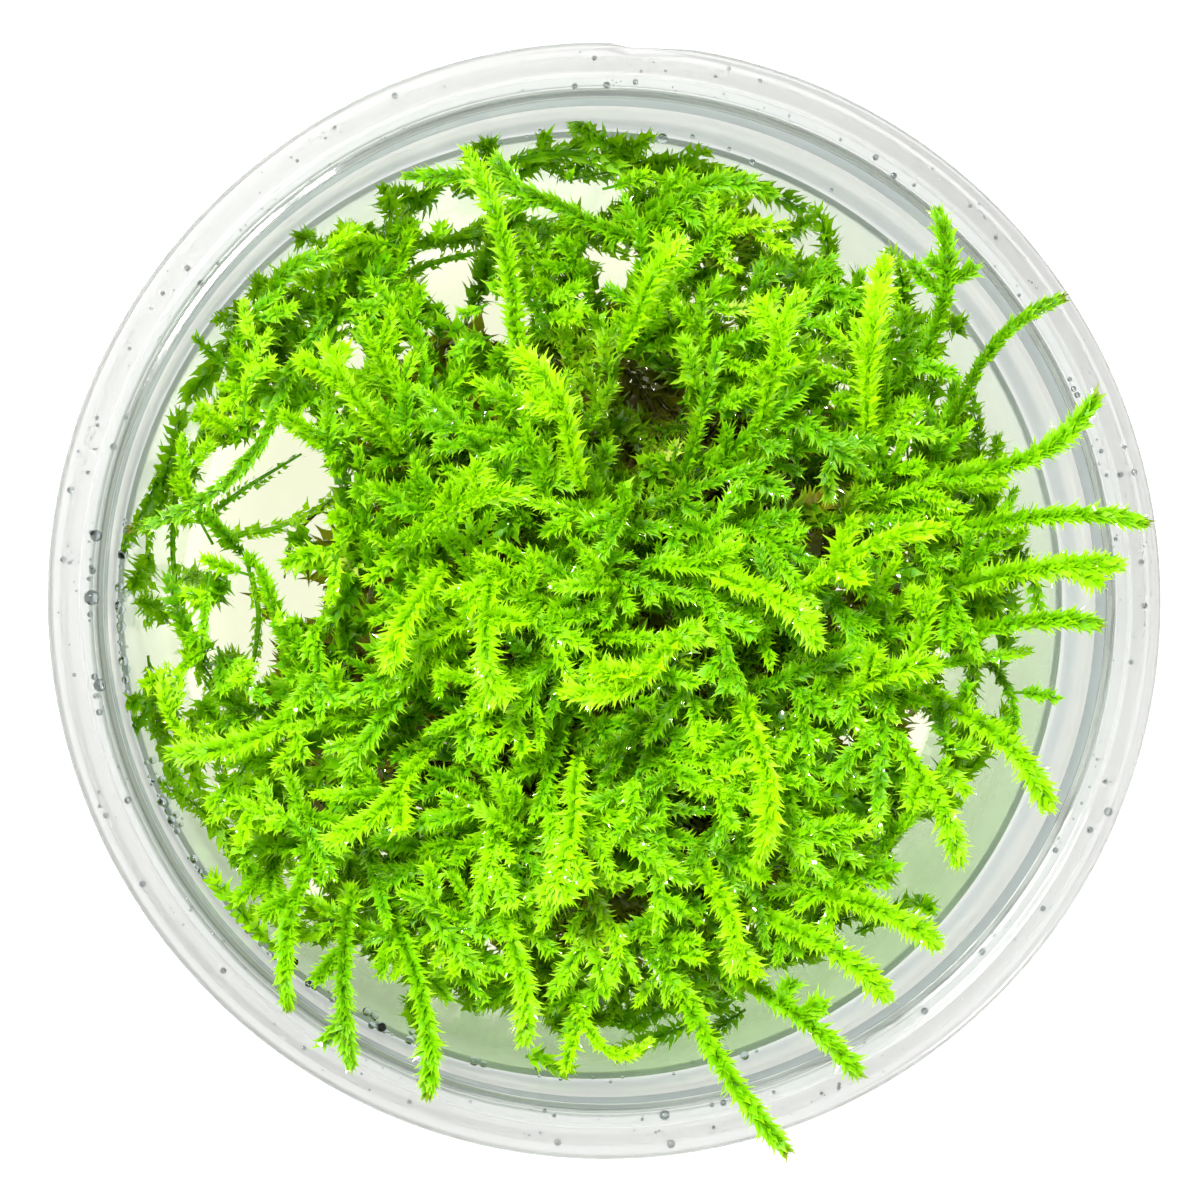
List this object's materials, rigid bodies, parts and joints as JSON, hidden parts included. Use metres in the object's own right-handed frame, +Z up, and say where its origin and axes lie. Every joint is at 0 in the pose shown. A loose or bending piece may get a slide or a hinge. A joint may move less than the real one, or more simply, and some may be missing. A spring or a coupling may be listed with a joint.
{
  "type": "moss clump in a culture cup",
  "caption": "Clump of leafy aquatic moss shoots growing in an open, see-through plastic culture cup with a wide flanged rim, standing on its foot ring.",
  "frame": {"origin": "on the ground under the middle of the cup, the centre of the foot ring", "axes": "+Z up along the cup's axis; +Y towards the flat where the tear tab was; X completes the frame. The cup is turned about Z"},
  "size_m": [0.08, 0.08, 0.0499],
  "materials": {
    "clear_plastic": "clear, faintly milky, glossy",
    "old_moss": "matt, wet brown-olive stems",
    "young_moss": "wet, semi-translucent green leaves",
    "shoot_moss": "wet, translucent lime green leaves"
  },
  "bodies": {
    "root": {"culture_cup": "clear_plastic", "old_growth_mat": "old_moss", "moss_cushion": "young_moss", "shoot_01": "shoot_moss", "shoot_02": "shoot_moss", "shoot_03": "shoot_moss", "shoot_04": "shoot_moss", "shoot_05": "shoot_moss", "shoot_06": "shoot_moss", "shoot_07": "shoot_moss", "shoot_08": "shoot_moss", "shoot_09": "shoot_moss", "shoot_10": "shoot_moss", "shoot_11": "shoot_moss", "shoot_12": "shoot_moss", "shoot_13": "shoot_moss", "shoot_14": "shoot_moss", "shoot_15": "shoot_moss", "shoot_16": "shoot_moss", "shoot_17": "shoot_moss", "shoot_18": "shoot_moss", "shoot_19": "shoot_moss", "shoot_20": "shoot_moss", "shoot_21": "shoot_moss", "shoot_22": "shoot_moss", "shoot_23": "shoot_moss", "shoot_24": "shoot_moss", "shoot_25": "shoot_moss", "shoot_26": "shoot_moss", "shoot_27": "shoot_moss", "shoot_28": "shoot_moss", "shoot_29": "shoot_moss", "shoot_30": "shoot_moss", "shoot_31": "shoot_moss", "shoot_32": "shoot_moss", "shoot_33": "shoot_moss", "shoot_34": "shoot_moss", "shoot_35": "shoot_moss", "shoot_36": "shoot_moss", "shoot_37": "shoot_moss", "shoot_38": "shoot_moss"}
  },
  "joints": []
}
